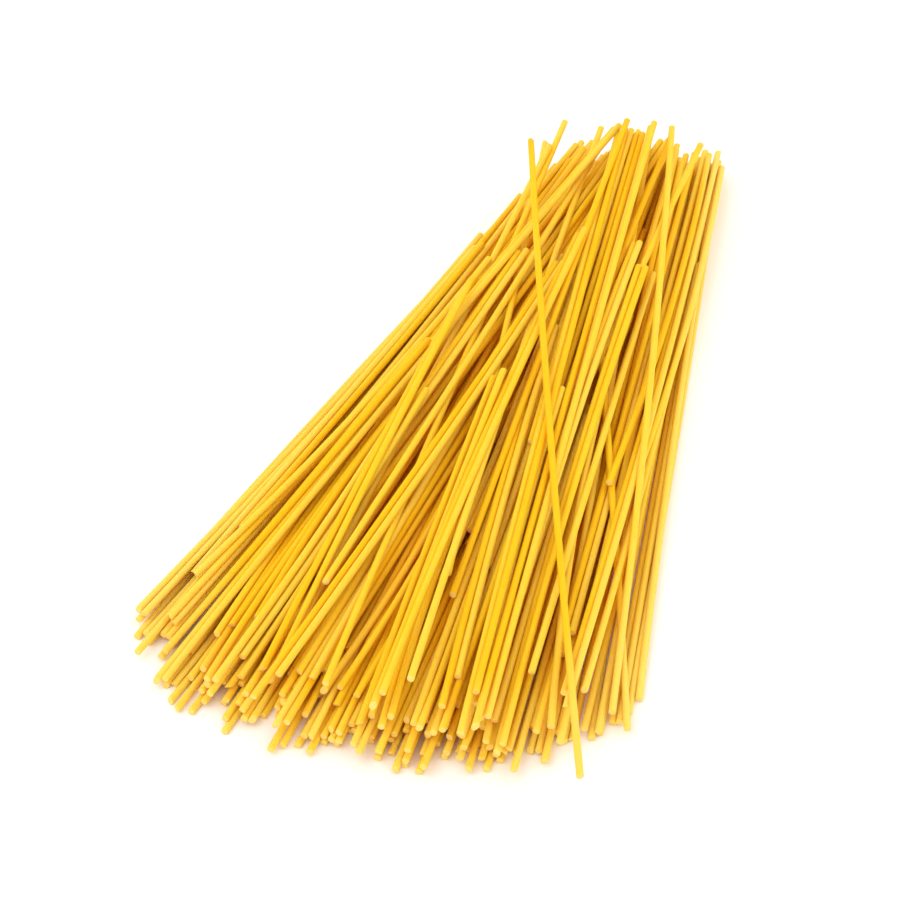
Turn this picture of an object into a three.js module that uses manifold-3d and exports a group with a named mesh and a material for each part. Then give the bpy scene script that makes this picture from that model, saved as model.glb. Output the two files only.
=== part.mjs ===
// Bundle of dry spaghetti lying on a flat surface.
// Millimetres, +Z up. The strands run along Y: they are gathered into a tall,
// narrow sheaf at +Y and fan out into a wide, low spread at -Y.
// The bundle is one solid: a mound with a flat underside, whose top, sides and
// ends carry real strands at their true thickness and length.
// The origin is under the middle of the bundle, on the plane that it rests on.
//
// "Across" is a place over the width of the bundle: -1 on its left edge, 1 on
// its right edge. "Level" is a share of the mound's height at that place.

import * as THREE from 'three';
import { mergeVertices } from 'three/addons/utils/BufferGeometryUtils.js';
import Module from 'manifold-3d';

// One strand.
const STRAND_LENGTH = 248;
const STRAND_DIAMETER = 1.9;
const STRAND_SIDES = 6;

// The gathered end: where it is measured, its width and its height.
const SHEAF = { y: 128, centre: 22.5, halfWidth: 27.5, height: 21 };

// The fanned end, measured where the mound is still whole.
const FAN = { y: -100, height: 11.5 };

// How far a strand travels sideways for each millimetre along Y: in the middle
// of the bundle, and the change from there to either edge.
const LEAN_MIDDLE = 0.093;
const LEAN_CHANGE = 0.184;

// The curved edge that the strands' near ends keep to.
const NEAR_EDGE = { y: -120, leftRise: 43, leftPower: 3.4, rightRise: 35, rightPower: 3.5 };

// The edge that their far ends stay short of, further back on the left.
const FAR_EDGE = { y: 155, curve: 4, leftCut: 52, leftFrom: 0.8 };
const FAR_UNEVENNESS = 5;

// The mound under the strands.
const MOUND_COLUMNS = 26;
const MOUND_REACH = 0.97;
const MOUND_INSET = 12;
const MOUND_FOOT = 1.2;
const LEFT_SQUARENESS = 1.7;
const RIGHT_SQUARENESS = 3;

// Rows of strands from the underside of the mound to its top, and how far back
// from the near edge their ends may lie.
const ROWS = [
  { level: 0.05, count: 33, stagger: 20 },
  { level: 0.36, count: 19, stagger: 24 },
  { level: 0.68, count: 25, stagger: 16 },
  { level: 1, count: 54, stagger: 14 },
];
const ROW_REACH = 0.98;
const ROW_STEP = 0.55 * STRAND_DIAMETER;
const ROW_SEED = 100;

// How unevenly the strands were laid down.
const SIDE_DRIFT = 0.03;
const FLOOR_GAP = 0.15;

// Loose strands over the top: where each crosses the fan and the sheaf, and how
// far it is shifted along Y. The first is the long one that crosses all others.
const LOOSE_STRANDS = [
  { fan: 0.84, sheaf: -0.92, shift: -1 },
  { fan: 0.72, sheaf: 0.34, shift: 6 },
  { fan: -0.62, sheaf: -0.1, shift: 3 },
  { fan: -0.3, sheaf: 0.42, shift: 5 },
  { fan: 0.3, sheaf: -0.36, shift: 4 },
  { fan: 0.02, sheaf: 0.62, shift: 7 },
];
const LOOSE_SEAT = 0.35;
const LOOSE_SAMPLES = 24;

const PASTA_COLOUR = 0xf5bb28;
const PASTA_ROUGHNESS = 0.5;

const wasm = await Module();
wasm.setup();

/** A repeatable number from -1 to 1 for one trait of one strand. */
function unevenness(strand, trait) {
  const scattered = Math.sin(strand * 12.9898 + trait * 78.233) * 43758.5453;
  return 2 * (scattered - Math.floor(scattered)) - 1;
}

/** Sideways travel for each millimetre along Y. */
function lean(across) {
  return LEAN_MIDDLE - LEAN_CHANGE * across;
}

/** Where a strand's near end lies along Y. */
function nearEnd(across) {
  const { y, leftRise, leftPower, rightRise, rightPower } = NEAR_EDGE;
  const size = Math.abs(across);
  return across < 0 ? y + leftRise * size ** leftPower : y + rightRise * size ** rightPower;
}

/** Where the far end of a strand lies along Y. */
function farEnd(across) {
  const { y, curve, leftCut, leftFrom } = FAR_EDGE;
  const intoLeft = Math.max(0, -across - leftFrom) / (1 - leftFrom);
  const edge = y - curve * across ** 2 - leftCut * Math.min(intoLeft, 1);
  return Math.min(edge, nearEnd(across) + STRAND_LENGTH / Math.hypot(1, lean(across)));
}

/** Height of the mound's middle at a given Y. */
function ridgeAt(y) {
  return THREE.MathUtils.mapLinear(y, FAN.y, SHEAF.y, FAN.height, SHEAF.height);
}

/** Height of the mound at a place across it. */
function moundTop(across, y) {
  const squareness = across < 0 ? LEFT_SQUARENESS : RIGHT_SQUARENESS;
  const crown = 1 - Math.min(Math.abs(across), 1) ** squareness;
  return MOUND_FOOT + (ridgeAt(y) - MOUND_FOOT) * crown;
}

/** A point in the bundle: on its plan at a given Y, at a level of the mound. */
function placeAt(across, y, level) {
  const x = SHEAF.centre + SHEAF.halfWidth * across + lean(across) * (y - SHEAF.y);
  return new THREE.Vector3(x, y, level * moundTop(across, y));
}

/** The place across the bundle of a point on its plan. */
function acrossAt(x, y) {
  const fromSheaf = y - SHEAF.y;
  const offset = x - SHEAF.centre - LEAN_MIDDLE * fromSheaf;
  return offset / (SHEAF.halfWidth - LEAN_CHANGE * fromSheaf);
}

/** The closed skin of the mound: straight from end to end on top, flat below. */
function moundGeometry() {
  const positions = [];
  const addColumns = (endOf, inset) => {
    for (let column = 0; column <= MOUND_COLUMNS; column += 1) {
      const across = MOUND_REACH * (2 * (column / MOUND_COLUMNS) - 1);
      const top = placeAt(across, endOf(across) + inset, 1);
      positions.push(top.x, top.y, top.z, top.x, top.y, 0);
    }
  };
  addColumns(nearEnd, MOUND_INSET);
  addColumns(farEnd, -MOUND_INSET);
  const columnStep = 2;
  const endStep = columnStep * (MOUND_COLUMNS + 1);
  const faces = [];
  const quad = (a, b, c, d) => faces.push(a, b, c, a, c, d);
  for (let column = 0; column < MOUND_COLUMNS; column += 1) {
    const top = column * columnStep;
    const foot = top + 1;
    const nextTop = top + columnStep;
    const nextFoot = foot + columnStep;
    quad(top, nextTop, nextTop + endStep, top + endStep);
    quad(foot, foot + endStep, nextFoot + endStep, nextFoot);
    quad(top, foot, nextFoot, nextTop);
    quad(top + endStep, nextTop + endStep, nextFoot + endStep, foot + endStep);
  }
  const last = MOUND_COLUMNS * columnStep;
  quad(0, endStep, endStep + 1, 1);
  quad(last, last + 1, last + 1 + endStep, last + endStep);
  const geometry = new THREE.BufferGeometry();
  geometry.setAttribute('position', new THREE.Float32BufferAttribute(positions, 3));
  geometry.setIndex(faces);
  return geometry;
}

/** One straight strand on a line, from a given Y to its full length or a last Y. */
function strandGeometry(fanPoint, sheafPoint, startY, lastY) {
  const direction = sheafPoint.clone().sub(fanPoint).normalize();
  const depth = Math.min(STRAND_LENGTH, (lastY - startY) / direction.y);
  const travel = (startY - fanPoint.y) / direction.y;
  const start = fanPoint.clone().addScaledVector(direction, travel);
  const section = new THREE.Shape();
  for (let side = 0; side < STRAND_SIDES; side += 1) {
    const angle = (2 * Math.PI * side) / STRAND_SIDES;
    const x = (STRAND_DIAMETER / 2) * Math.cos(angle);
    const y = (STRAND_DIAMETER / 2) * Math.sin(angle);
    if (side === 0) section.moveTo(x, y);
    else section.lineTo(x, y);
  }
  const geometry = new THREE.ExtrudeGeometry(section, { depth, bevelEnabled: false });
  geometry.lookAt(direction);
  geometry.translate(start.x, start.y, start.z);
  return geometry;
}

/** A closed geometry as a solid that can be joined. */
function toSolid(geometry) {
  const bare = geometry.clone();
  bare.deleteAttribute('normal');
  bare.deleteAttribute('uv');
  const merged = mergeVertices(bare);
  return new wasm.Manifold(new wasm.Mesh({
    numProp: 3,
    vertProperties: new Float32Array(merged.attributes.position.array),
    triVerts: new Uint32Array(merged.index.array),
  }));
}

/** A solid with the small sealed pockets between its strands filled. */
function withoutPockets(solid) {
  const outerSkins = solid.decompose().filter((skin) => skin.volume() > 0);
  return wasm.Manifold.union(outerSkins);
}

/** A joined solid as a geometry for a mesh. */
function toGeometry(solid) {
  const { vertProperties, triVerts } = solid.getMesh();
  const geometry = new THREE.BufferGeometry();
  geometry.setAttribute('position', new THREE.BufferAttribute(vertProperties, 3));
  geometry.setIndex(new THREE.BufferAttribute(triVerts, 1));
  return geometry;
}

/** Moves a point of a strand's axis up or down, and keeps the strand off the floor. */
function raised(point, rise) {
  const lowest = STRAND_DIAMETER / 2 + FLOOR_GAP;
  return point.setZ(Math.max(point.z + rise, lowest));
}

/** The strands of one row, spread evenly across with small unevenness. */
function rowOfStrands(row, rowIndex) {
  return Array.from({ length: row.count }, (_, index) => {
    const strand = rowIndex * ROW_SEED + index;
    const across = ROW_REACH * ((2 * (index + 0.5)) / row.count - 1);
    const fanAcross = across + SIDE_DRIFT * unevenness(strand, 1);
    const sheafAcross = across + SIDE_DRIFT * unevenness(strand, 2);
    const fanPoint = raised(placeAt(fanAcross, FAN.y, row.level), 0);
    const sheafPoint = raised(placeAt(sheafAcross, SHEAF.y, row.level), -(index % 2) * ROW_STEP);
    const setback = (row.stagger / 2) * (1 + unevenness(strand, 3));
    const lastY = farEnd(across) + FAR_UNEVENNESS * unevenness(strand, 4);
    return strandGeometry(fanPoint, sheafPoint, nearEnd(across) + setback, lastY);
  });
}

/** A loose strand over the top, which rests on the highest strands under it. */
function looseStrand(loose) {
  const fanPoint = placeAt(loose.fan, FAN.y, 0);
  const sheafPoint = placeAt(loose.sheaf, SHEAF.y, 0);
  const depthsBelowRidge = Array.from({ length: LOOSE_SAMPLES + 1 }, (_, sample) => {
    const { x, y } = fanPoint.clone().lerp(sheafPoint, sample / LOOSE_SAMPLES);
    return ridgeAt(y) - moundTop(acrossAt(x, y), y);
  });
  const rise = STRAND_DIAMETER - LOOSE_SEAT - Math.min(...depthsBelowRidge);
  fanPoint.setZ(FAN.height + rise);
  sheafPoint.setZ(SHEAF.height + rise);
  return strandGeometry(fanPoint, sheafPoint, NEAR_EDGE.y + loose.shift, FAR_EDGE.y);
}

/** The whole bundle as one geometry, centred over the origin. */
function bundleGeometry() {
  const strands = [...ROWS.flatMap(rowOfStrands), ...LOOSE_STRANDS.map(looseStrand)];
  const joined = wasm.Manifold.union([moundGeometry(), ...strands].map(toSolid));
  const geometry = toGeometry(withoutPockets(joined));
  geometry.computeBoundingBox();
  const { min, max } = geometry.boundingBox;
  geometry.translate(-(min.x + max.x) / 2, -(min.y + max.y) / 2, -min.z);
  return geometry;
}

const pasta = new THREE.MeshStandardMaterial({
  color: PASTA_COLOUR,
  roughness: PASTA_ROUGHNESS,
  metalness: 0,
});

const bundle = new THREE.Mesh(bundleGeometry(), pasta);
bundle.name = 'spaghetti_bundle';

const part = new THREE.Group();
part.add(bundle);

export default part;
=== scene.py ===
"""A bundle of dry spaghetti, gathered at one end and fanned out at the other.

Every strand is a real one at its true size. The strands are laid one by one on
the table and on each other, so that each rests on those under it, and the CAD
solid of the bundle is replaced by them. All sizes are in metres.
"""

import logging
import math
from dataclasses import dataclass, field
from enum import Enum

import bpy
import numpy as np
from mathutils import Matrix, Vector


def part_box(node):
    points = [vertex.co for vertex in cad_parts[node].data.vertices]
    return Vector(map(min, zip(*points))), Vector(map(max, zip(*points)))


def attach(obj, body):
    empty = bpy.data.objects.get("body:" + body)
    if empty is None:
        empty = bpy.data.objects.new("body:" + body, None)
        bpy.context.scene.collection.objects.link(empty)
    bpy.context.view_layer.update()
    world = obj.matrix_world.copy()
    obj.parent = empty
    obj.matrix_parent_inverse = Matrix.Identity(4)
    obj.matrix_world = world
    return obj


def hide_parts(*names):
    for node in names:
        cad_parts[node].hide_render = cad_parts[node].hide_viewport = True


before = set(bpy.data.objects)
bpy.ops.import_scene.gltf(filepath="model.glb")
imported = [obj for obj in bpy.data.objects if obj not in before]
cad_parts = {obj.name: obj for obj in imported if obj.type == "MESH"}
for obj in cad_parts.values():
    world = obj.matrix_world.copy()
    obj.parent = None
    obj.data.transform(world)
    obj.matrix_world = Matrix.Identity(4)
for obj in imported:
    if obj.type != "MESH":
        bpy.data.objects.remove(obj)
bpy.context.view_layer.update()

NODE = "spaghetti_bundle"
BODY = "root"
MM = 0.001
FAR_OFF = 1e3

log = logging.getLogger("spaghetti")


class EndStyle(Enum):
    """How the end of a strand was made."""

    CUT = "cut"
    SNAPPED = "snapped"


@dataclass(frozen=True)
class EndShape:
    """How far an end face tilts and how deep it is hollowed, in radii of the strand."""

    tilt: float
    hollow: tuple[float, float]


END_SHAPES = {
    EndStyle.CUT: EndShape(0.1, (-0.08, 0.02)),
    EndStyle.SNAPPED: EndShape(0.34, (-0.2, 0.25)),
}


@dataclass(frozen=True)
class Pasta:
    """The strands as the maker extrudes and cuts them."""

    length: float = 248 * MM
    length_change: float = 1.2 * MM
    radius: float = 0.95 * MM
    shortest: float = 100 * MM
    unevenness: float = 2.5 * MM
    bow: float = 0.9 * MM
    touching: float = 1.01
    broken_lengths: tuple[float, float] = (0.45, 0.95)
    snapped_share: float = 0.3


@dataclass(frozen=True)
class BundlePlan:
    """Where strands lie on the table, as shares of the CAD box of the bundle.

    A place "across" the bundle runs from -1 on its left edge to 1 on its right
    edge. Y runs along the strands, from the fanned end to the gathered end.
    """

    low: Vector
    high: Vector
    sheaf_along: float = 0.8983
    sheaf_across: float = 0.6432
    sheaf_half_width: float = 0.2118
    lean_middle: float = 0.093
    lean_change: float = 0.184
    left_rise: float = 0.1564
    left_power: float = 3.4
    right_rise: float = 0.1262
    right_power: float = 3.5
    near_gap: float = 0.0042
    far_gap: float = 0.032
    far_left_cut: float = 0.1877
    fan_height: float = 12.0 * MM
    sheaf_height: float = 20.5 * MM
    end_reach: float = 55 * MM
    left_squareness: float = 1.7
    right_squareness: float = 3.0
    edge_height: float = 2 * MM
    outside_drop: float = 0.3
    widest: float = 1.2
    cut_from: float = 0.8
    camera_aim: tuple[float, float] = (0.4699, 0.4369)

    @property
    def size(self) -> Vector:
        """Width, length and height of the box."""
        return self.high - self.low

    @property
    def sheaf_y(self) -> float:
        """Where the gathered end is measured."""
        return self.low.y + self.sheaf_along * self.size.y

    @property
    def sheaf_x(self) -> float:
        """The middle of the gathered end."""
        return self.low.x + self.sheaf_across * self.size.x

    @property
    def half_width(self) -> float:
        """Half the width of the gathered end."""
        return self.sheaf_half_width * self.size.x

    def at(self, shares: tuple[float, float]) -> tuple[float, float]:
        """The place on the table at some shares of the box."""
        return self.low.x + shares[0] * self.size.x, self.low.y + shares[1] * self.size.y

    def lean(self, across: float) -> float:
        """Sideways travel for each metre along Y."""
        return self.lean_middle - self.lean_change * across

    def near_end(self, across: np.ndarray | float) -> np.ndarray | float:
        """Y of the edge that the near ends of the strands keep to.

        Args:
            across: places across the bundle.

        Returns:
            The edge's Y at each place.
        """
        aside = np.minimum(np.abs(across), 1)
        left = self.left_rise * aside**self.left_power
        right = self.right_rise * aside**self.right_power
        rise = np.where(across < 0, left, right)
        return self.low.y + (self.near_gap + rise) * self.size.y

    def far_end(self, across: float, setback: float) -> float:
        """Y that the far ends of the strands stay short of, more so in the middle.

        Args:
            across: a place across the bundle.
            setback: how much shorter the strands stay in the middle.

        Returns:
            The edge's Y.
        """
        past_cut = (-across - self.cut_from) / (1 - self.cut_from)
        cut = self.far_left_cut * min(max(0.0, past_cut), 1.0)
        middle = max(0.0, 1 - across**2)
        return self.high.y - (self.far_gap + cut) * self.size.y - setback * middle

    def x_at(self, across: float, y: float) -> float:
        """X of a place across the bundle at a given Y."""
        return self.sheaf_x + self.half_width * across + self.lean(across) * (y - self.sheaf_y)

    def across_at(self, x: np.ndarray | float, y: np.ndarray | float) -> np.ndarray | float:
        """How far across the bundle a place on the table is.

        Args:
            x: places on the table.
            y: places on the table.

        Returns:
            Their places across the bundle.
        """
        past_sheaf = y - self.sheaf_y
        width = self.half_width - self.lean_change * past_sheaf
        return (x - self.sheaf_x - self.lean_middle * past_sheaf) / width

    def inside(self, x: np.ndarray, y: np.ndarray) -> np.ndarray:
        """How far a place is from both ends of the bundle.

        Args:
            x: places on the table.
            y: places on the table.

        Returns:
            0 at an end, up to 1 well inside.
        """
        near = (y - self.near_end(self.across_at(x, y))) / self.end_reach
        far = (self.high.y - self.far_gap * self.size.y - y) / self.end_reach
        return np.clip(np.minimum(near, far), 0, 1)

    def top(self, x: np.ndarray, y: np.ndarray) -> np.ndarray:
        """Height that the heap is filled to.

        Args:
            x: places on the table.
            y: places on the table.

        Returns:
            The height wanted over each place.
        """
        across = self.across_at(x, y)
        power = np.where(across < 0, self.left_squareness, self.right_squareness)
        aside = np.abs(np.clip(across, -self.widest, self.widest))
        crown = np.maximum(1 - aside**power, -self.outside_drop)
        share = np.clip((y - self.low.y) / (self.sheaf_y - self.low.y), 0, 1)
        ridge = self.fan_height + (self.sheaf_height - self.fan_height) * share
        return self.edge_height + (ridge - self.edge_height) * crown


@dataclass
class Strand:
    """One laid strand: its axis as points, and what it looks like."""

    axis: np.ndarray
    number: int
    tone: float
    near: EndStyle
    far: EndStyle


@dataclass(frozen=True)
class Course:
    """Strands of one kind, laid one after another.

    Each leans out of the bundle's direction by about "turn" and starts about
    "stagger" behind the near edge. To lie lower it may slide by "settle" and turn
    by "settle_turn". A share of them is "broken", and up to "group" lie together.
    """

    name: str
    count: int
    turn: float
    settle: float
    settle_turn: float
    sag: float
    stagger: float
    broken: float
    tries: int
    group: int = 1
    sides: int = 14
    ring_gap: float = 7 * MM
    far_setback: float = 0.0


@dataclass(frozen=True)
class StrayStrand:
    """A strand that lies apart from the rest, with both ends as shares of the CAD box."""

    near: tuple[float, float]
    far: tuple[float, float]
    bow: float = 0.0


@dataclass
class Trial:
    """A strand tried on the heap: the line it was meant for and where it came to rest."""

    lean: float
    start: float
    length: float
    bow: float
    at: np.ndarray
    x: np.ndarray
    z: np.ndarray
    end: float
    outside: float = 0.0


@dataclass
class Heap:
    """The strands on the table, each resting on those laid before it."""

    plan: BundlePlan
    pasta: Pasta
    rng: np.random.Generator
    room: int = 520
    step: float = 5 * MM
    margin: float = 20 * MM
    droop: float = 1.5 * MM
    press: float = 0.12 * MM
    smoothings: int = 3
    off_station: float = 0.1
    tries_each_way: int = 5
    narrowings: tuple[float, float] = (1.0, 0.3)
    effort: float = 0.03
    turning_arm: float = 0.06
    mean_cost: float = 0.5
    outside_cost: float = 40 * MM
    pivots: tuple[float, float] = (0.27, 0.76)
    most_staggers: float = 3.0
    most_turns: float = 1.8
    table_span: tuple[float, float] = (-0.965, 0.99)
    table_change: float = 0.006
    fill_span: float = 0.97
    beside_gap: float = 2.06
    beside_shift: float = 8 * MM
    beside_turn: float = 0.004
    strands: list[Strand] = field(default_factory=list)

    def __post_init__(self) -> None:
        """Lays out the stations along Y at which strands are compared."""
        low, high = self.plan.low.y - self.margin, self.plan.high.y + self.margin
        self.stations = np.arange(low, high, self.step)
        self.xs = np.full((self.room, len(self.stations)), FAR_OFF)
        self.zs = np.full((self.room, len(self.stations)), -FAR_OFF)

    def support(self, xs: np.ndarray, at: np.ndarray, slant: float) -> np.ndarray:
        """Lowest height of a strand's axis that clears the table and all laid strands.

        Args:
            xs: tried places, one row for each try.
            at: indices of the stations that the strand covers.
            slant: cosine of the strand's angle to Y.

        Returns:
            Heights of the same shape as xs.
        """
        laid = len(self.strands)
        reach = 2 * self.pasta.radius * self.pasta.touching
        others = self.xs[:laid, at]
        close = ((others > xs.min(0) - reach) & (others < xs.max(0) + reach)).any(1)
        floor = np.full(xs.shape, self.pasta.radius)
        if not close.any():
            return floor
        sideways = (xs[:, None, :] - others[close][None]) * slant
        room = reach**2 - sideways**2
        heights = self.zs[:laid, at][close][None] + np.sqrt(np.maximum(room, 0))
        heights = np.where(room > 0, heights, -FAR_OFF)
        return np.maximum(heights.max(1), floor)

    def rest(self, ys: np.ndarray, heights: np.ndarray) -> tuple[np.ndarray, ...]:
        """Rests a straight strand on the two supports on either side of its middle.

        Args:
            ys: the stations that the strand covers.
            heights: support heights, one row for each try.

        Returns:
            For each try, the height of the strand's middle, its slope, its height
            at Y zero, and the indices of both supports.
        """
        # The middle is kept off the stations, so that each support is on one side of it.
        middle = 0.5 * (ys[0] + ys[-1]) + self.off_station * self.step
        before, after = np.where(ys <= middle)[0], np.where(ys > middle)[0]
        y0, y1 = ys[before][:, None], ys[after][None, :]
        low, high = heights[:, before][:, :, None], heights[:, after][:, None, :]
        at_middle = (low * (y1 - middle) + high * (middle - y0)) / (y1 - y0)
        best = at_middle.reshape(len(heights), -1).argmax(1)
        first, last = before[best // len(after)], after[best % len(after)]
        rows = np.arange(len(heights))
        slope = (heights[rows, last] - heights[rows, first]) / (ys[last] - ys[first])
        base = heights[rows, first] - slope * ys[first]
        return base + slope * middle, slope, base, first, last

    def bend(self, ys: np.ndarray, z: np.ndarray, under: np.ndarray,
             supports: tuple[int, int], sag: float) -> np.ndarray:
        """Lets a straight strand sag between its supports and droop beyond them.

        Args:
            ys: the stations that the strand covers.
            z: the straight strand's heights.
            under: the lowest heights that it may have.
            supports: indices of the two supports.
            sag: how far a whole strand would sag between its ends.

        Returns:
            The bent strand's heights.
        """
        first, last = supports
        span = slice(first, last + 1)
        z = z.copy()
        if last - first > 1:
            curve = 4 * sag / self.pasta.length**2 * (ys[span] - ys[first]) ** 2
            z[span] = concave_cover(ys[span], under[span] - curve) + curve
        droop = self.droop / (self.pasta.length / 2) ** 2
        for tip, support in ((slice(0, first), first), (slice(last + 1, None), last)):
            fallen = z[tip] - droop * (ys[tip] - ys[support]) ** 2
            z[tip] = np.maximum(fallen, under[tip])
        return np.maximum(smoothed(z, self.smoothings), under - self.press)

    def settle(self, x: float, y: float, lean: float, start: float, length: float,
               bow: float, course: Course) -> Trial:
        """Lays a strand near a place, where it lies lowest.

        Args:
            x: a place that the strand's line passes.
            y: a place that the strand's line passes.
            lean: sideways travel for each metre along Y.
            start: Y of the strand's near end.
            length: its length.
            bow: how far its middle bends sideways.
            course: how freely it may slide and turn.

        Returns:
            The strand where it came to rest.
        """
        slant = 1 / math.hypot(1, lean)
        end = start + length * slant
        at = np.where((self.stations >= start) & (self.stations <= end))[0]
        ys = self.stations[at]
        middle = 0.5 * (start + end)
        share = (ys - start) / (end - start)
        line = x + lean * (ys - y) + bow * 4 * share * (1 - share)
        slide = turn = 0.0
        either_way = np.linspace(-1, 1, self.tries_each_way)
        for narrowing in self.narrowings:
            slides = slide + narrowing * course.settle * either_way
            turns = turn + narrowing * course.settle_turn * either_way
            tries = np.array([(a, b) for a in slides for b in turns])
            xs = line + tries[:, :1] + tries[:, 1:] * (ys - middle)
            heights = self.support(xs, at, slant)
            centre, slope, base, first, last = self.rest(ys, heights)
            effort = self.effort * (np.abs(tries[:, 0]) + self.turning_arm * np.abs(tries[:, 1]))
            best = int(np.argmin(centre + effort))
            slide, turn = tries[best]
        straight = base[best] + slope[best] * ys
        supports = (int(first[best]), int(last[best]))
        z = self.bend(ys, straight, heights[best], supports, course.sag)
        return Trial(lean, start, length, bow, at, xs[best], z, end)

    def place(self, across: float, turned: float, course: Course) -> Trial:
        """Tries one strand at a place across the bundle, with chance variations.

        Args:
            across: the place.
            turned: how far it leans out of its neighbours' direction.
            course: the course that it belongs to.

        Returns:
            The strand where it came to rest.
        """
        plan, pasta, rng = self.plan, self.pasta, self.rng
        pivot = plan.low.y + plan.size.y * rng.uniform(*self.pivots)
        lean = plan.lean(across) + turned
        length = pasta.length + rng.normal(0, pasta.length_change)
        x = plan.x_at(across, pivot)
        first, last = plan.near_end(across), plan.high.y
        near_across = plan.across_at(x + lean * (first - pivot), first)
        far_across = plan.across_at(x + lean * (last - pivot), last)
        first = edge = plan.near_end(near_across)
        last = plan.far_end(far_across, course.far_setback)
        start = first + min(rng.exponential(course.stagger), self.most_staggers * course.stagger)
        first += rng.normal(0, pasta.unevenness)
        # A broken strand is the near part, a middle part or the far part of a whole one.
        if rng.random() < course.broken:
            kept = length * rng.uniform(*pasta.broken_lengths)
            start += (length - kept) * rng.choice([0.0, rng.random(), 1.0])
            length = kept
        slant = 1 / math.hypot(1, lean)
        start = max(first, min(start + first - edge, last - length * slant))
        length = min(length, max((last - start) / slant, pasta.shortest))
        bow = rng.normal(0, pasta.bow)
        tried = self.settle(x, pivot, lean, start, length, bow, course)
        tried.outside = max(abs(near_across), abs(far_across), 1.0) - 1
        return tried

    def excess(self, tried: Trial) -> float:
        """How far a tried strand stands out of the heap that is wanted."""
        over = tried.z - self.plan.top(tried.x, self.stations[tried.at])
        standing_out = float(over.max() + self.mean_cost * over.mean())
        return standing_out + self.outside_cost * tried.outside

    def keep(self, tried: Trial) -> Strand:
        """Adds a tried strand to the heap.

        Args:
            tried: the strand where it came to rest.

        Returns:
            The strand, with its ends and its tone.
        """
        number = len(self.strands)
        self.xs[number, tried.at] = tried.x
        self.zs[number, tried.at] = tried.z
        axis = np.stack([tried.x, self.stations[tried.at], tried.z], 1)
        axis[0] = along_line(axis[0], axis[1], tried.start)
        axis[-1] = along_line(axis[-1], axis[-2], tried.end)
        near, far = self.end_style(), self.end_style()
        strand = Strand(axis, number, float(self.rng.random()), near, far)
        self.strands.append(strand)
        return strand

    def end_style(self) -> EndStyle:
        """Draws how one end of a strand was made."""
        return EndStyle.SNAPPED if self.rng.random() < self.pasta.snapped_share else EndStyle.CUT

    def spread(self, course: Course) -> list[Strand]:
        """Lays a course evenly over the table, in a scattered order.

        Args:
            course: the course to lay.

        Returns:
            Its strands.
        """
        places = self.rng.permutation(np.linspace(*self.table_span, course.count))
        laid = []
        for place in places:
            across = float(np.clip(place + self.rng.normal(0, self.table_change), -1, 1))
            laid.append(self.keep(self.place(across, self.rng.normal(0, course.turn), course)))
        return laid

    def fill(self, course: Course) -> list[Strand]:
        """Lays a course wherever the heap is still lower than wanted.

        Args:
            course: the course to lay.

        Returns:
            Its strands.
        """
        laid: list[Strand] = []
        most = self.most_turns
        while len(laid) < course.count:
            turned = course.turn * float(np.clip(self.rng.normal(), -most, most))
            places = self.rng.uniform(-self.fill_span, self.fill_span, course.tries)
            best = min((self.place(place, turned, course) for place in places), key=self.excess)
            laid.append(self.keep(best))
            for beside in range(1, self.rng.integers(1, course.group + 1)):
                if len(laid) < course.count:
                    laid.append(self.keep(self.neighbour(best, beside, course)))
        return laid

    def neighbour(self, first: Trial, beside: int, course: Course) -> Trial:
        """Lays a strand beside another of its group, almost parallel to it.

        Args:
            first: the first strand of the group.
            beside: how many strands away from it this one lies.
            course: the course that they belong to.

        Returns:
            The strand where it came to rest.
        """
        middle = len(first.at) // 2
        x = first.x[middle] + beside * self.beside_gap * self.pasta.radius
        shift = abs(self.rng.normal(0, self.beside_shift))
        lean = first.lean + self.rng.normal(0, self.beside_turn)
        return self.settle(x, self.stations[first.at[middle]], lean, first.start + shift,
                           first.length - shift, first.bow, course)

    def stray(self, strand: StrayStrand, course: Course) -> Strand:
        """Lays one stray strand from end to end.

        Args:
            strand: where it lies.
            course: how freely it may slide and turn.

        Returns:
            The strand.
        """
        (x0, y0), (x1, y1) = self.plan.at(strand.near), self.plan.at(strand.far)
        lean = (x1 - x0) / (y1 - y0)
        length = math.hypot(x1 - x0, y1 - y0)
        return self.keep(self.settle(x0, y0, lean, y0, length, strand.bow, course))


def along_line(first: np.ndarray, second: np.ndarray, y: float) -> np.ndarray:
    """The point at a given Y on the line through two points."""
    return first + (first - second) * (y - first[1]) / (first[1] - second[1])


def smoothed(values: np.ndarray, times: int) -> np.ndarray:
    """Evens out a row of values between its two ends.

    Args:
        values: the row.
        times: how often to do it.

    Returns:
        The smoother row.
    """
    for _ in range(times):
        values[1:-1] = 0.25 * values[:-2] + 0.5 * values[1:-1] + 0.25 * values[2:]
    return values


def concave_cover(ys: np.ndarray, heights: np.ndarray) -> np.ndarray:
    """The lowest curve over some heights that never curves upwards.

    Args:
        ys: places in rising order.
        heights: the height at each place.

    Returns:
        The curve's height at each place.
    """
    kept: list[int] = []
    for index in range(len(ys)):
        while len(kept) > 1:
            a, b = kept[-2], kept[-1]
            rise_to_b = (heights[b] - heights[a]) * (ys[index] - ys[a])
            rise_past_b = (heights[index] - heights[a]) * (ys[b] - ys[a])
            if rise_to_b > rise_past_b:
                break
            kept.pop()
        kept.append(index)
    return np.interp(ys, ys[kept], heights[kept])


@dataclass
class Skin:
    """The skin of one strand: points, faces, map and which faces are end faces."""

    points: np.ndarray
    faces: list[list[int]]
    uv: np.ndarray
    cut: np.ndarray
    places: np.ndarray


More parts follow.
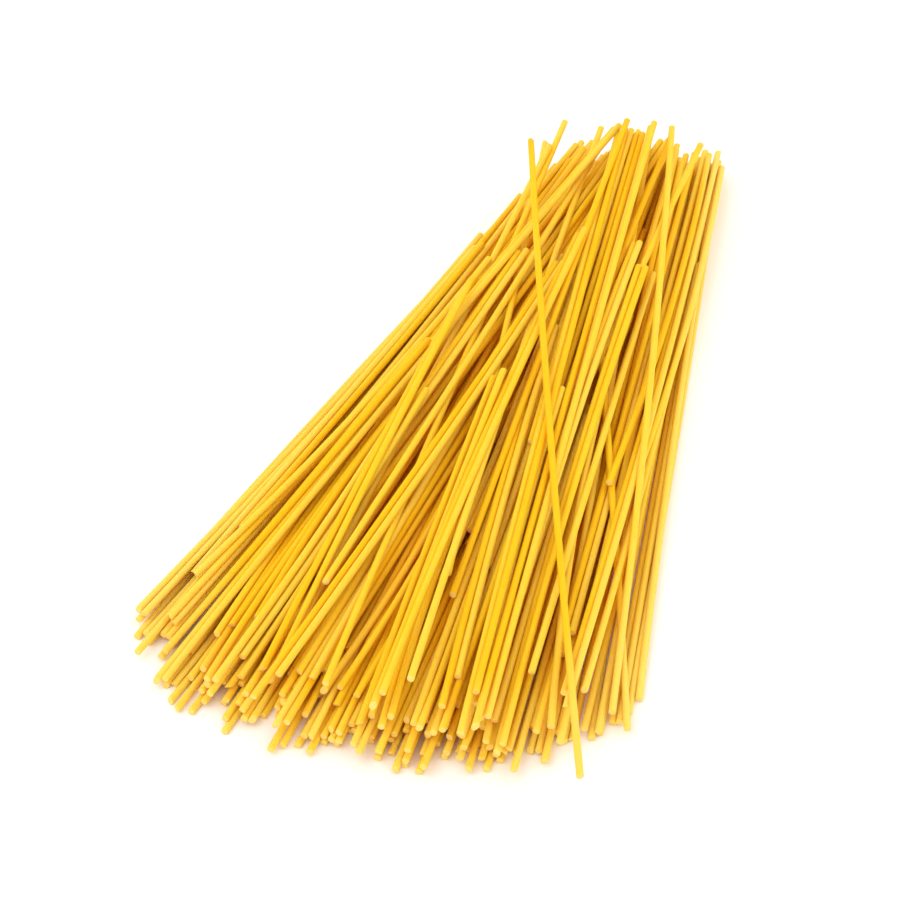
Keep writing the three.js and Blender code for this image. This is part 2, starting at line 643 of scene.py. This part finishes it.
@dataclass(frozen=True)
class StrandSkin:
    """Makes one mesh of many strands, with a map, values for their finish, and values for painted
    shade deep in the heap and painted pale light where it is thin.
    """

    pasta: Pasta
    sides: int
    ring_gap: float
    seed: int
    plan: BundlePlan
    fewest_rings: int = 6
    smoothings: int = 2
    slimming: float = 0.985
    swell: float = 0.02
    swell_wave: float = 31 * MM
    swell_shift: float = 6.3
    bevel: float = 0.07 * MM
    bevel_slope: float = 0.8
    middle_ring: float = 0.62
    middle_hollow: float = 0.35
    inner_ring: float = 0.15
    map_gap: float = 0.12
    disc_map: float = 0.004
    disc_radius: float = 0.45
    strand_apart: tuple[float, float] = (7.3, 3.1)
    # Share of the heap's height counted at its ends, so that the ends get the painted pale light
    # too.
    painted_light_end_share: float = 0.35

    def rings(self, strand: Strand) -> tuple[np.ndarray, np.ndarray]:
        """Points along a strand's axis, evenly spaced.

        Args:
            strand: the strand.

        Returns:
            The points, and how far along the strand each is.
        """
        axis = strand.axis
        steps = np.linalg.norm(np.diff(axis, axis=0), axis=1)
        along = np.concatenate([[0], np.cumsum(steps)])
        count = max(self.fewest_rings, int(round(along[-1] / self.ring_gap)))
        wanted = np.linspace(0, along[-1], count)
        points = np.stack([np.interp(wanted, along, axis[:, i]) for i in range(3)], 1)
        return smoothed(points, self.smoothings), wanted

    def cap(self, style: EndStyle, rng: np.random.Generator) -> list[tuple[float, float]]:
        """Rings over an end, from its rim to its middle.

        Args:
            style: how the end was made.
            rng: the source of its hollow.

        Returns:
            Each ring's share of the radius, and how many radii it stands out.
        """
        bevel = self.bevel / self.pasta.radius
        hollow = rng.uniform(*END_SHAPES[style].hollow)
        return [(1.0, -bevel), (1 - self.bevel_slope * bevel, 0.0),
                (self.middle_ring, self.middle_hollow * hollow), (self.inner_ring, hollow)]

    def tube(self, strand: Strand, rng: np.random.Generator) -> Skin:
        """The skin of one strand: rounded body, bevelled rims and both end faces.

        Args:
            strand: the strand to build.
            rng: the source of its small unevenness.

        Returns:
            Its skin.
        """
        centres, along = self.rings(strand)
        tangents = np.gradient(centres, axis=0)
        tangents /= np.linalg.norm(tangents, axis=1, keepdims=True)
        right = np.cross(tangents, (0.0, 0.0, 1.0))
        right /= np.linalg.norm(right, axis=1, keepdims=True)
        up = np.cross(right, tangents)
        swell = 1 + self.swell * np.sin(along / self.swell_wave + rng.uniform(0, self.swell_shift))
        radii = self.pasta.radius * self.slimming * swell
        near_cap, far_cap = self.cap(strand.near, rng), self.cap(strand.far, rng)
        # Each ring's station on the axis, share of the radius and place along the end.
        final = len(centres) - 1
        order = [(0, share, -depth) for share, depth in reversed(near_cap)]
        order += [(ring, 1.0, 0.0) for ring in range(1, final)]
        order += [(final, share, depth) for share, depth in far_cap]
        angles = 2 * math.pi * np.arange(self.sides) / self.sides
        round_once = np.stack([np.cos(angles), np.sin(angles)], 1)
        near_tilt, far_tilt = rng.normal(0, 1, (2, 2))
        tilts = {0: near_tilt * END_SHAPES[strand.near].tilt,
                 final: far_tilt * END_SHAPES[strand.far].tilt}
        points, places, u = [], [], []
        for ring, share, depth in order:
            circle = round_once * share
            tilt = circle @ tilts[ring] if ring in tilts else 0 * angles
            lift = (depth + tilt) * self.pasta.radius
            offset = circle[:, :1] * right[ring] + circle[:, 1:] * up[ring]
            points.append(centres[ring] + radii[ring] * offset + lift[:, None] * tangents[ring])
            local = np.concatenate([circle * radii[ring], (along[ring] + lift)[:, None]], 1)
            places.append(local / MM)
            u.append(along[ring] + depth * self.pasta.radius)
        faces, uv = self.net(np.array(u), round_once)
        rows = np.repeat(np.arange(len(order) - 1), self.sides)
        cut = (rows < len(near_cap) - 2) | (rows >= len(order) - len(far_cap) + 1)
        return Skin(np.concatenate(points), faces, uv, np.append(cut, [True, True]),
                    np.concatenate(places))

    def net(self, along: np.ndarray, round_once: np.ndarray) -> tuple[list[list[int]], np.ndarray]:
        """The faces between a strand's rings and over its two ends, and their map.

        Args:
            along: how far along the strand each ring is.
            round_once: a circle's points, one for each side of a ring.

        Returns:
            The faces as point numbers, and the map at each face's corners.
        """
        count = len(along)
        ring_ids = np.arange(count - 1)[:, None] * self.sides
        here = np.arange(self.sides)[None]
        there = (here + 1) % self.sides
        quads = np.stack([ring_ids + here, ring_ids + self.sides + here,
                          ring_ids + self.sides + there, ring_ids + there], 2).reshape(-1, 4)
        u = (along - along[0]) / (along[-1] - along[0])
        u = self.disc_map + (1 - 2 * self.disc_map) * u
        v = np.arange(self.sides + 1) / self.sides
        corners = [(u[:-1, None], v[None, :-1]), (u[1:, None], v[None, :-1]),
                   (u[1:, None], v[None, 1:]), (u[:-1, None], v[None, 1:])]
        shape = (count - 1, self.sides)
        uv = np.stack([np.stack([np.broadcast_to(a, shape), np.broadcast_to(b, shape)], 2)
                       for a, b in corners], 2).reshape(-1, 2)
        near_map = (0.5 + self.disc_radius * round_once) * (self.disc_map, 1.0)
        far_map = (1.0, 0.0) + near_map[::-1] * (-1.0, 1.0)
        last = count * self.sides - 1
        near_disc = list(range(self.sides))
        far_disc = list(range(last, last - self.sides, -1))
        return quads.tolist() + [near_disc, far_disc], np.concatenate([uv, near_map, far_map])

    def build(self, name: str, strands: list[Strand], materials: list[bpy.types.Material]
              ) -> bpy.types.Object:
        """Joins the skins of many strands into one piece.

        Args:
            name: the piece's name.
            strands: what it is made of.
            materials: the finish of the rolled skin and of the end faces.

        Returns:
            The piece.
        """
        rng = np.random.default_rng(self.seed)
        skins = [self.tube(strand, rng) for strand in strands]
        faces, uvs, places, tones = [], [], [], []
        offset = 0
        strip = 1 / len(strands)
        for row, (strand, skin) in enumerate(zip(strands, skins)):
            faces += [[corner + offset for corner in face] for face in skin.faces]
            skin.uv[:, 1] = (row + self.map_gap / 2 + (1 - self.map_gap) * skin.uv[:, 1]) * strip
            uvs.append(skin.uv)
            aside = strand.number * np.array((*self.strand_apart, 0))
            places.append(skin.places + aside)
            tones.append(np.full(len(skin.points), strand.tone))
            offset += len(skin.points)
        mesh = bpy.data.meshes.new(name)
        points = np.concatenate([skin.points for skin in skins])
        mesh.from_pydata(points.tolist(), [], faces)
        mesh.uv_layers.new(name="OFBake")
        mesh.uv_layers["OFBake"].data.foreach_set("uv", np.concatenate(uvs).ravel())
        # Painted shade and light: how deep each point lies under the heap's top, and how thin the
        # heap is there, with its ends counted thinner.
        top = self.plan.top(points[:, 0], points[:, 1])
        inside = self.plan.inside(points[:, 0], points[:, 1])
        light_end_share = self.painted_light_end_share
        values = {"strand_tone": np.concatenate(tones),
                  "painted_shade_depth": inside * (top - points[:, 2]) / MM,
                  "painted_light_thickness": (light_end_share + (1 - light_end_share) * inside) * top / MM}
        place = mesh.attributes.new("strand_place", "FLOAT_VECTOR", "POINT")
        place.data.foreach_set("vector", np.concatenate(places).ravel())
        for label, value in values.items():
            mesh.attributes.new(label, "FLOAT", "POINT").data.foreach_set("value", value)
        for material in materials:
            mesh.materials.append(material)
        cuts = np.concatenate([skin.cut for skin in skins])
        mesh.polygons.foreach_set("material_index", cuts.astype(np.int32))
        mesh.polygons.foreach_set("use_smooth", np.ones(len(faces), bool))
        mesh.update()
        mesh.calc_loop_triangles()
        piece = bpy.data.objects.new(name, mesh)
        bpy.context.scene.collection.objects.link(piece)
        return piece


@dataclass
class Shade:
    """A number in a material that can be used in sums."""

    tree: "ShaderTree"
    socket: bpy.types.NodeSocket

    def combined(self, operation: str, other: "Shade | float", swapped: bool = False) -> "Shade":
        """Adds a Math node for this number and another.

        Args:
            operation: what the node does.
            other: the other number.
            swapped: whether the other number comes first.

        Returns:
            The result.
        """
        pair = [self, other][::-1] if swapped else [self, other]
        inputs = {index: value for index, value in enumerate(pair)}
        node = self.tree.add("ShaderNodeMath", {"operation": operation}, inputs)
        return Shade(self.tree, node.outputs[0])

    def __add__(self, other: "Shade | float") -> "Shade":
        """This number plus another."""
        return self.combined("ADD", other)

    def __radd__(self, other: float) -> "Shade":
        """A plain number plus this one."""
        return self.combined("ADD", other, swapped=True)

    def __mul__(self, other: "Shade | float") -> "Shade":
        """This number times another."""
        return self.combined("MULTIPLY", other)

    def __rmul__(self, other: float) -> "Shade":
        """A plain number times this one."""
        return self.combined("MULTIPLY", other, swapped=True)


@dataclass(frozen=True)
class Noise:
    """Noise over a strand: how fine, how stretched across and along, and how rough."""

    scale: float
    stretch: tuple[float, float, float]
    detail: float


@dataclass
class ShaderTree:
    """The nodes of one material, made by plain calls."""

    material: bpy.types.Material

    @classmethod
    def named(cls, name: str) -> "ShaderTree":
        """Starts an empty material.

        Args:
            name: the material's name.

        Returns:
            Its tree of nodes.
        """
        material = bpy.data.materials.new(name)
        material.use_nodes = True
        material.node_tree.nodes.clear()
        return cls(material)

    def add(self, kind: str, settings: dict[str, object] | None = None,
            inputs: dict[str | int, object] | None = None) -> bpy.types.Node:
        """Adds one node.

        Args:
            kind: the node's type.
            settings: its own settings, which are set first.
            inputs: a value, Shade or socket for each named or numbered input.

        Returns:
            The node.
        """
        tree = self.material.node_tree
        node = tree.nodes.new(kind)
        for key, value in (settings or {}).items():
            setattr(node, key, value)
        for key, value in (inputs or {}).items():
            socket = node.inputs[key]
            if isinstance(value, Shade):
                tree.links.new(value.socket, socket)
            elif isinstance(value, bpy.types.NodeSocket):
                tree.links.new(value, socket)
            else:
                socket.default_value = value
        return node

    def attribute(self, name: str) -> bpy.types.Node:
        """Reads a value that the mesh carries."""
        return self.add("ShaderNodeAttribute", {"attribute_name": name})

    def noise(self, place: bpy.types.NodeSocket, noise: Noise) -> Shade:
        """Adds noise over the strand.

        Args:
            place: the place on the strand.
            noise: its size and shape.

        Returns:
            The noise, from 0 to 1.
        """
        scaled = self.add("ShaderNodeVectorMath", {"operation": "MULTIPLY"},
                          {0: place, 1: noise.stretch})
        node = self.add("ShaderNodeTexNoise", {}, {"Vector": scaled.outputs[0],
                                                   "Scale": noise.scale, "Detail": noise.detail})
        return Shade(self, node.outputs["Fac"])

    def ranged(self, value: Shade, low: float, high: float,
               to_low: float = 0.0, to_high: float = 1.0) -> Shade:
        """Maps a range of a number on another range, and clamps it.

        Args:
            value: the number.
            low: where its range starts.
            high: where its range ends.
            to_low: what the start becomes.
            to_high: what the end becomes.

        Returns:
            The mapped number.
        """
        node = self.add("ShaderNodeMapRange", {"clamp": True},
                        {"Value": value, "From Min": low, "From Max": high,
                         "To Min": to_low, "To Max": to_high})
        return Shade(self, node.outputs[0])

    def mixed(self, share: Shade, first: object, second: object) -> bpy.types.NodeSocket:
        """Mixes two colours.

        Args:
            share: how much of the second there is.
            first: a colour or a colour's socket.
            second: a colour or a colour's socket.

        Returns:
            The mixed colour.
        """
        node = self.add("ShaderNodeMix", {"data_type": "RGBA"}, {0: share, 6: first, 7: second})
        return node.outputs[2]

    def finish(self, sockets: dict[str, object]) -> bpy.types.Material:
        """Ends the material in a Principled shader.

        Args:
            sockets: the value or link of each of the shader's sockets.

        Returns:
            The material.
        """
        shader = self.add("ShaderNodeBsdfPrincipled", {"subsurface_method": "RANDOM_WALK"},
                          sockets)
        self.add("ShaderNodeOutputMaterial", {}, {"Surface": shader.outputs[0]})
        return self.material


def srgb(red: int, green: int, blue: int) -> tuple[float, float, float, float]:
    """A colour as it looks on a screen, as shader light.

    Args:
        red: its red, from 0 to 255.
        green: its green, from 0 to 255.
        blue: its blue, from 0 to 255.

    Returns:
        The colour for a shader.
    """
    def light(value: int) -> float:
        """One channel as light."""
        share = value / 255
        return share / 12.92 if share <= 0.04045 else ((share + 0.055) / 1.055) ** 2.4
    return light(red), light(green), light(blue), 1.0


@dataclass(frozen=True)
class PastaFinish:
    """Semolina dried to a golden, slightly see-through, semi-matt skin, with painted shade on
    strands deep in the heap and painted pale light where it is thin.
    """

    name: str = "dry_semolina"
    pale: tuple = srgb(247, 206, 76)
    golden: tuple = srgb(245, 199, 40)
    deep: tuple = srgb(243, 187, 18)
    # Painted shade: the deeper orange of strands lying deep in the heap.
    painted_shade: tuple = srgb(238, 163, 0)
    # Painted light: the pale colour of strands where the heap is thin and at its ends.
    rim_and_painted_light: tuple = srgb(248, 215, 108)
    bran: tuple = srgb(196, 128, 30)
    bran_share: float = 0.25
    warmth_shares: tuple[float, float, float] = (0.62, 0.4, 0.3)
    warmth_range: tuple[float, float] = (0.3, 1.02)
    golden_range: tuple[float, float] = (0.0, 0.55)
    deep_range: tuple[float, float] = (0.5, 1.0)
    speck_range: tuple[float, float] = (0.70, 0.78)
    painted_shade_depths: tuple[float, float] = (1.5, 8.0)
    painted_light_thicknesses: tuple[float, float] = (1.0, 6.5)
    painted_light_share: float = 0.75
    clouds: Noise = Noise(0.12, (0.6, 0.6, 0.35), 2.0)
    grain: Noise = Noise(3.2, (1, 1, 0.45), 4.0)
    lines: Noise = Noise(4.6, (1, 1, 0.035), 2.0)
    specks: Noise = Noise(1.9, (1, 1, 0.7), 1.0)
    grain_range: tuple[float, float] = (0.3, 0.7)
    roughness: tuple[float, float] = (0.46, 0.62)
    bending: float = 1.4
    shine: float = 0.14
    shine_tint: tuple = (1.0, 0.86, 0.5, 1.0)
    see_through: float = 0.6
    see_through_depth: float = 2.2 * MM
    see_through_spread: tuple[float, float, float] = (1.0, 0.6, 0.2)
    relief_shares: tuple[float, float] = (0.6, 0.4)
    bump: float = 0.4
    bump_depth: float = 0.06 * MM

    def build(self) -> bpy.types.Material:
        """Makes the material.

        Returns:
            The material.
        """
        tree = ShaderTree.named(self.name)
        place = tree.attribute("strand_place").outputs["Vector"]
        tone = Shade(tree, tree.attribute("strand_tone").outputs["Fac"])
        depth = Shade(tree, tree.attribute("painted_shade_depth").outputs["Fac"])
        light_thickness = Shade(tree, tree.attribute("painted_light_thickness").outputs["Fac"])
        clouds, grain = tree.noise(place, self.clouds), tree.noise(place, self.grain)
        lines, specks = tree.noise(place, self.lines), tree.noise(place, self.specks)
        by_tone, by_clouds, by_lines = self.warmth_shares
        warmth = by_tone * tone + by_clouds * clouds + by_lines * lines
        warmth = tree.ranged(warmth, *self.warmth_range)
        colour = tree.mixed(tree.ranged(warmth, *self.golden_range), self.pale, self.golden)
        colour = tree.mixed(tree.ranged(warmth, *self.deep_range), colour, self.deep)
        # Painted shade: a deeper orange on strands deep under the heap's top.
        colour = tree.mixed(tree.ranged(depth, *self.painted_shade_depths), colour, self.painted_shade)
        # Painted light: a pale colour laid on where the heap is thin and at its ends, as if the
        # pale table lit the strands through.
        rim_and_painted_light = tree.ranged(light_thickness, *self.painted_light_thicknesses, self.painted_light_share, 0.0)
        colour = tree.mixed(rim_and_painted_light, colour, self.rim_and_painted_light)
        bran = tree.ranged(specks, *self.speck_range) * self.bran_share
        colour = tree.mixed(bran, colour, self.bran)
        bump = tree.add("ShaderNodeBump", {}, {
            "Strength": self.bump, "Distance": self.bump_depth,
            "Height": self.relief_shares[0] * lines + self.relief_shares[1] * grain})
        return tree.finish({
            "Base Color": colour, "Normal": bump.outputs[0],
            "Roughness": tree.ranged(grain, *self.grain_range, *self.roughness),
            "IOR": self.bending, "Specular IOR Level": self.shine,
            "Specular Tint": self.shine_tint, "Subsurface Weight": self.see_through,
            "Subsurface Radius": self.see_through_spread,
            "Subsurface Scale": self.see_through_depth})


@dataclass(frozen=True)
class EndFinish:
    """The pale, floury face where a strand was cut or snapped."""

    name: str = "floury_end"
    rim_and_painted_light: tuple = srgb(250, 206, 84)
    core: tuple = srgb(255, 226, 130)
    grain: Noise = Noise(6.0, (1, 1, 1), 4.0)
    core_range: tuple[float, float] = (0.35, 0.65)
    grain_range: tuple[float, float] = (0.3, 0.7)
    roughness: tuple[float, float] = (0.7, 0.9)
    see_through: float = 0.2
    see_through_depth: float = 0.9 * MM
    see_through_spread: tuple[float, float, float] = (1.0, 0.5, 0.12)
    bump: float = 0.5
    bump_depth: float = 0.08 * MM

    def build(self) -> bpy.types.Material:
        """Makes the material.

        Returns:
            The material.
        """
        tree = ShaderTree.named(self.name)
        place = tree.attribute("strand_place").outputs["Vector"]
        grain = tree.noise(place, self.grain)
        bump = tree.add("ShaderNodeBump", {}, {
            "Strength": self.bump, "Distance": self.bump_depth, "Height": grain})
        return tree.finish({
            "Base Color": tree.mixed(tree.ranged(grain, *self.core_range), self.rim_and_painted_light, self.core),
            "Roughness": tree.ranged(grain, *self.grain_range, *self.roughness),
            "Normal": bump.outputs[0], "Subsurface Weight": self.see_through,
            "Subsurface Radius": self.see_through_spread,
            "Subsurface Scale": self.see_through_depth})


@dataclass
class SpaghettiBundle:
    """All the strands of the bundle, from the table up."""

    plan: BundlePlan
    pasta: Pasta = Pasta()
    seed: int = 43
    table: Course = Course(
        "table_strands", count=78, turn=0.006, settle=0.8 * MM, settle_turn=0.005, sag=2.5 * MM,
        stagger=7 * MM, broken=0.08, tries=1, sides=10, ring_gap=9 * MM)
    inner: Course = Course(
        "inner_strands", count=56, turn=0.015, settle=2.0 * MM, settle_turn=0.012, sag=2.0 * MM,
        stagger=10 * MM, broken=0.2, tries=14, sides=12, ring_gap=8 * MM, far_setback=8 * MM)
    slanting: Course = Course(
        "slanting_strands", count=44, turn=0.055, settle=1.0 * MM, settle_turn=0.006, sag=2.0 * MM,
        stagger=12 * MM, broken=0.35, tries=20, group=2, ring_gap=7 * MM, far_setback=13 * MM)
    top: Course = Course(
        "top_strands", count=60, turn=0.058, settle=0.8 * MM, settle_turn=0.004, sag=1.6 * MM,
        stagger=14 * MM, broken=0.45, tries=20, group=2, sides=16, ring_gap=6 * MM,
        far_setback=18 * MM)
    strays: tuple[StrayStrand, ...] = (
        StrayStrand((0.605, 0.190), (0.456, 0.907), 0.8 * MM),
        StrayStrand((0.440, 0.044), (0.495, 0.933)),
        StrayStrand((0.322, 0.055), (0.485, 0.876), 0.6 * MM),
        StrayStrand((0.605, 0.042), (0.579, 0.932), -0.7 * MM),
        StrayStrand((0.991, 0.090), (0.698, 0.612), 0.5 * MM),
        StrayStrand((0.680, 0.180), (0.820, 0.899), -0.6 * MM),
        StrayStrand((0.369, 0.170), (0.586, 0.847), 0.7 * MM),
    )
    crossing: StrayStrand = StrayStrand((0.945, -0.009), (0.446, 0.820), -1.0 * MM)

    def lay(self) -> list[tuple[str, Course, list[Strand]]]:
        """Lays every strand and sorts them into pieces.

        Returns:
            The name, course and strands of each piece, from the table up.
        """
        heap = Heap(self.plan, self.pasta, np.random.default_rng(self.seed))
        pieces = [(self.table.name, self.table, heap.spread(self.table))]
        for course in (self.inner, self.slanting):
            pieces.append((course.name, course, heap.fill(course)))
        strays = [heap.stray(stray, self.top) for stray in self.strays]
        pieces.append(("stray_strands", self.top, strays))
        pieces.append((self.top.name, self.top, heap.fill(self.top)))
        pieces.append(("crossing_strand", self.top, [heap.stray(self.crossing, self.top)]))
        return pieces

    def build(self) -> None:
        """Makes the pieces and puts them in the CAD node's place."""
        finishes = [PastaFinish().build(), EndFinish().build()]
        for number, (name, course, strands) in enumerate(self.lay()):
            skin = StrandSkin(self.pasta, course.sides, course.ring_gap, self.seed + number,
                              self.plan)
            piece = skin.build(name, strands, finishes)
            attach(piece, BODY)
            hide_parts(NODE)
            triangles = len(piece.data.loop_triangles)
            log.info("%s: %d strands, %d triangles", name, len(strands), triangles)


@dataclass(frozen=True)
class SoftLamp:
    """A soft square lamp that faces the bundle, at an offset from it."""

    name: str
    offset: tuple[float, float, float]
    size: float
    power: float
    colour: tuple[float, float, float]

    def build(self, aim: Vector) -> None:
        """Hangs the lamp.

        Args:
            aim: the place that it faces.
        """
        light = bpy.data.lights.new(self.name, "AREA")
        light.size = self.size
        light.energy = self.power
        light.color = self.colour
        lamp = bpy.data.objects.new(self.name, light)
        lamp.location = aim + Vector(self.offset)
        lamp.rotation_euler = (-Vector(self.offset)).to_track_quat("-Z", "Y").to_euler()
        bpy.context.scene.collection.objects.link(lamp)


@dataclass(frozen=True)
class Studio:
    """A pale table, soft light and the camera."""

    aim: Vector
    azimuth: float = math.radians(14)
    elevation: float = math.radians(40)
    distance: float = 0.845
    lens: float = 123.5
    sensor: float = 36.0
    sight: tuple[float, float] = (0.01, 20.0)
    bounces: int = 10
    diffuse_bounces: int = 6
    glossy_bounces: int = 3
    table_size: float = 6.0
    table_colour: tuple = (0.96, 0.95, 0.935, 1.0)
    table_roughness: float = 0.8
    table_shine: float = 0.2
    wall_colour: tuple = (1.0, 0.99, 0.975, 1.0)
    wall_light: float = 1.05
    lamps: tuple[SoftLamp, ...] = (
        SoftLamp("key", (-0.45, -0.65, 1.35), size=1.1, power=5.5, colour=(1.0, 0.99, 0.97)),
        SoftLamp("fill", (0.9, 0.5, 1.1), size=1.2, power=2.5, colour=(1.0, 0.99, 0.98)),
    )

    def table(self) -> None:
        """Sets up the surface under the bundle."""
        half = self.table_size / 2
        mesh = bpy.data.meshes.new("table_top")
        corners = [(-half, -half, 0), (half, -half, 0), (half, half, 0), (-half, half, 0)]
        mesh.from_pydata(corners, [], [(0, 1, 2, 3)])
        piece = bpy.data.objects.new("table_top", mesh)
        bpy.context.scene.collection.objects.link(piece)
        mesh.materials.append(ShaderTree.named("pale_table").finish({
            "Base Color": self.table_colour, "Roughness": self.table_roughness,
            "Specular IOR Level": self.table_shine}))

    def walls(self) -> None:
        """Sets up white walls all round."""
        world = bpy.data.worlds.new("studio")
        world.use_nodes = True
        background = world.node_tree.nodes["Background"]
        background.inputs["Color"].default_value = self.wall_colour
        background.inputs["Strength"].default_value = self.wall_light
        bpy.context.scene.world = world

    def camera(self) -> None:
        """Sets up the camera at its viewing angle."""
        data = bpy.data.cameras.new("camera")
        data.lens = self.lens
        data.sensor_width = self.sensor
        data.clip_start, data.clip_end = self.sight
        camera = bpy.data.objects.new("camera", data)
        back = Vector((math.sin(self.azimuth) * math.cos(self.elevation),
                       -math.cos(self.azimuth) * math.cos(self.elevation),
                       math.sin(self.elevation)))
        turned = back.to_track_quat("Z", "Y").to_matrix().to_4x4()
        camera.matrix_world = Matrix.Translation(self.aim + self.distance * back) @ turned
        bpy.context.scene.collection.objects.link(camera)
        bpy.context.scene.camera = camera

    def build(self) -> None:
        """Sets up the table, the light, the camera and the picture's tone."""
        self.table()
        self.walls()
        for lamp in self.lamps:
            lamp.build(self.aim)
        self.camera()
        scene = bpy.context.scene
        scene.view_settings.view_transform = "Standard"
        scene.view_settings.look = "None"
        scene.cycles.max_bounces = self.bounces
        scene.cycles.diffuse_bounces = self.diffuse_bounces
        scene.cycles.glossy_bounces = self.glossy_bounces


def main() -> None:
    """Builds the bundle and its studio."""
    logging.basicConfig(level=logging.INFO, format="%(name)s: %(message)s")
    low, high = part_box(NODE)
    plan = BundlePlan(low, high)
    SpaghettiBundle(plan).build()
    Studio(Vector((*plan.at(plan.camera_aim), 0.0))).build()


if __name__ == "__main__":
    main()
